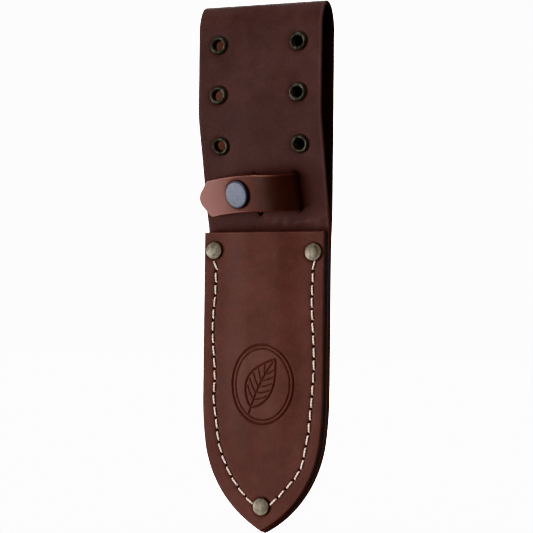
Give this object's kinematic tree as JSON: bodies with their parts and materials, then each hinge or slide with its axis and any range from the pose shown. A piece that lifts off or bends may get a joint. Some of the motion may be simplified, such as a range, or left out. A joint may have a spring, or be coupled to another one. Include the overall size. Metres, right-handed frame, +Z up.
{
  "type": "leather knife sheath",
  "caption": "Leather belt sheath for a digging knife: folded belt loop, riveted and stitched blade pocket, snap retention strap.",
  "frame": {"origin": "middle of the belt loop, where a belt passes through", "axes": "+Z up the sheath to the top fold; -Y out of the front face that carries the eyelets and the strap; +X to the right seen from the front, along the belt"},
  "size_m": [0.0778, 0.0275, 0.3012],
  "materials": {
    "strip_leather": "smooth oiled, dark reddish brown",
    "pocket_leather": "smooth oiled, reddish brown, burnished edges",
    "welt_leather": "black-brown edge paint",
    "strap_leather": "smooth oiled, reddish brown",
    "snap_metal": "satin nickel",
    "eyelet_metal": "dark gunmetal, rounded",
    "rivet_metal": "antique nickel-brass",
    "thread": "waxed cream thread"
  },
  "bodies": {
    "sheath": {"back_strip": "strip_leather", "front_panel": "pocket_leather", "welt_left": "welt_leather", "welt_right": "welt_leather", "strap_tab": "strap_leather", "strap_back_run": "strap_leather", "snap_stud": "snap_metal", "snap_post": "snap_metal", "eyelet_top_left": "eyelet_metal", "eyelet_top_right": "eyelet_metal", "eyelet_middle_left": "eyelet_metal", "eyelet_middle_right": "eyelet_metal", "eyelet_lower_left": "eyelet_metal", "eyelet_lower_right": "eyelet_metal", "eyelet_washer_top_left": "eyelet_metal", "eyelet_washer_top_right": "eyelet_metal", "eyelet_washer_middle_left": "eyelet_metal", "eyelet_washer_middle_right": "eyelet_metal", "eyelet_washer_lower_left": "eyelet_metal", "eyelet_washer_lower_right": "eyelet_metal", "rivet_cap_left": "rivet_metal", "rivet_post_left": "rivet_metal", "rivet_cap_right": "rivet_metal", "rivet_post_right": "rivet_metal", "rivet_cap_tip": "rivet_metal", "rivet_post_tip": "rivet_metal", "thread_left": "thread", "thread_right": "thread"},
    "strap": {"strap_flap": "strap_leather", "snap_cap": "snap_metal", "snap_socket": "snap_metal"}
  },
  "joints": [
    {"name": "strap_hinge", "type": "hinge", "parent": "sheath", "child": "strap", "pos_m": [0.0205, -0.00112, -0.06829], "axis": [-0.061, -0.2415, 0.9685], "range_deg": [0, 100]}
  ]
}
